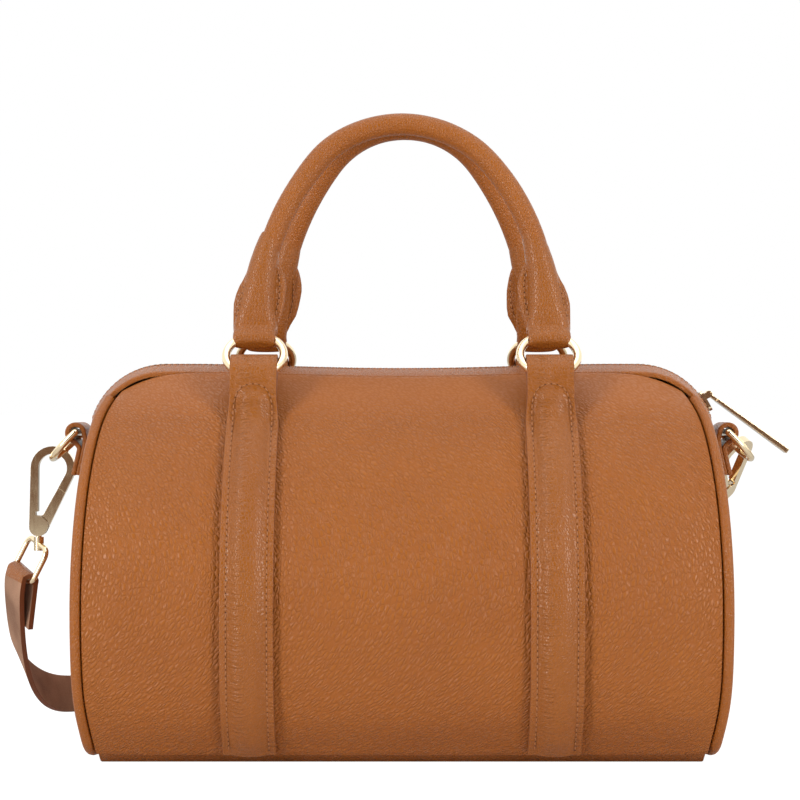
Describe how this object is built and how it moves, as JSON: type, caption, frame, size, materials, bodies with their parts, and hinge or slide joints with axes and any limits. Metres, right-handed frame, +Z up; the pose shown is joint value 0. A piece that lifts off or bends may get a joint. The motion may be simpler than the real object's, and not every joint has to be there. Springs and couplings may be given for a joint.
{
  "type": "barrel bag",
  "caption": "Barrel bag in grained tan leather: two rolled handles on gold rings, top zip over both corners, end D-rings and a clip-on shoulder strap laid behind it.",
  "frame": {"origin": "middle of the base where it meets the table", "axes": "+Z up, -Y towards the front panel, +X towards the end where the closed zip's slider is"},
  "size_m": [0.367, 0.268, 0.2905],
  "materials": {
    "leather": "satin",
    "piping": "satin",
    "strap": "matte",
    "metal": "polished",
    "tape": "matte",
    "lining": "matte",
    "board": "matte",
    "cord": "matte"
  },
  "bodies": {
    "bag": {"front_panel": "leather", "back_panel": "leather", "base_panel": "leather", "left_end_panel": "leather", "right_end_panel": "leather", "left_piping": "piping", "right_piping": "piping", "lining": "lining", "base_board": "board", "zip_facing_front": "leather", "zip_facing_back": "leather", "zip_tape_front": "tape", "zip_tape_back": "tape", "zip_teeth_front": "metal", "zip_teeth_back": "metal", "zip_stops": "metal", "front_left_strap": "leather", "front_right_strap": "leather", "back_left_strap": "leather", "back_right_strap": "leather", "front_strap_loops": "leather", "back_strap_loops": "leather", "left_d_ring_tab": "leather", "right_d_ring_tab": "leather", "left_strap_ring": "metal", "right_strap_ring": "metal", "shoulder_strap": "strap"},
    "front_rings": {"front_left_ring": "metal", "front_right_ring": "metal"},
    "front_handle": {"front_handle": "leather", "front_handle_core": "cord", "front_handle_tabs": "leather"},
    "back_rings": {"back_left_ring": "metal", "back_right_ring": "metal"},
    "back_handle": {"back_handle": "leather", "back_handle_core": "cord", "back_handle_tabs": "leather"},
    "zip_slider": {"zip_slider": "metal"},
    "zip_puller": {"zip_puller": "metal"},
    "left_d_ring": {"left_d_ring": "metal"},
    "right_d_ring": {"right_d_ring": "metal"},
    "left_hook": {"left_hook": "metal", "left_gate_pin": "metal"},
    "left_gate": {"left_gate": "metal"},
    "right_hook": {"right_hook": "metal", "right_gate_pin": "metal"},
    "right_gate": {"right_gate": "metal"}
  },
  "joints": [
    {"name": "front_ring_swing", "type": "hinge", "parent": "bag", "child": "front_rings", "pos_m": [0, -0.04136, 0.17164], "axis": [1, 0, 0], "range_deg": [0, 70], "deforming": ["front_strap_loops"]},
    {"name": "front_handle_swing", "type": "hinge", "parent": "front_rings", "child": "front_handle", "pos_m": [0, -0.02793, 0.18507], "axis": [1, 0, 0], "range_deg": [0, 85], "deforming": ["front_handle_tabs"]},
    {"name": "back_ring_swing", "type": "hinge", "parent": "bag", "child": "back_rings", "pos_m": [0, 0.04136, 0.17164], "axis": [-1, 0, 0], "range_deg": [0, 70], "deforming": ["back_strap_loops"]},
    {"name": "back_handle_swing", "type": "hinge", "parent": "back_rings", "child": "back_handle", "pos_m": [0, 0.02793, 0.18507], "axis": [-1, 0, 0], "range_deg": [0, 85], "deforming": ["back_handle_tabs"]},
    {"name": "zip_slider_travel", "type": "hinge", "parent": "bag", "child": "zip_slider", "pos_m": [0.109, 0, 0.139], "axis": [0, -1, 0], "range_deg": [0, 58]},
    {"name": "zip_puller_swing", "type": "hinge", "parent": "zip_slider", "child": "zip_puller", "pos_m": [0.14255, 0, 0.16068], "axis": [0, -1, 0], "range_deg": [0, 140]},
    {"name": "left_d_ring_swing", "type": "hinge", "parent": "bag", "child": "left_d_ring", "pos_m": [-0.15, 0, 0.143], "axis": [0, -1, 0], "range_deg": [0, 13]},
    {"name": "right_d_ring_swing", "type": "hinge", "parent": "bag", "child": "right_d_ring", "pos_m": [0.15, 0, 0.143], "axis": [0, 1, 0], "range_deg": [0, 8]},
    {"name": "left_hook_swivel", "type": "hinge", "parent": "bag", "child": "left_hook", "pos_m": [-0.16872, 0, 0.09898], "axis": [0, 0, 1], "range_deg": [-11, 11]},
    {"name": "right_hook_swivel", "type": "hinge", "parent": "bag", "child": "right_hook", "pos_m": [0.15712, 0.03545, 0.11424], "axis": [0.182, -0.6673, 0.7222], "range_deg": [-6, 6]},
    {"name": "left_gate_swing", "type": "hinge", "parent": "left_hook", "child": "left_gate", "pos_m": [-0.16942, 0, 0.09898], "axis": [0, -1, 0], "range_deg": [0, 22], "stiffness_Nm_per_rad": 0.03, "springref_deg": -11.46},
    {"name": "right_gate_swing", "type": "hinge", "parent": "right_hook", "child": "right_gate", "pos_m": [0.15765, 0.03584, 0.11446], "axis": [-0.6114, 0.4984, 0.6146], "range_deg": [0, 22], "stiffness_Nm_per_rad": 0.03, "springref_deg": -11.46}
  ]
}
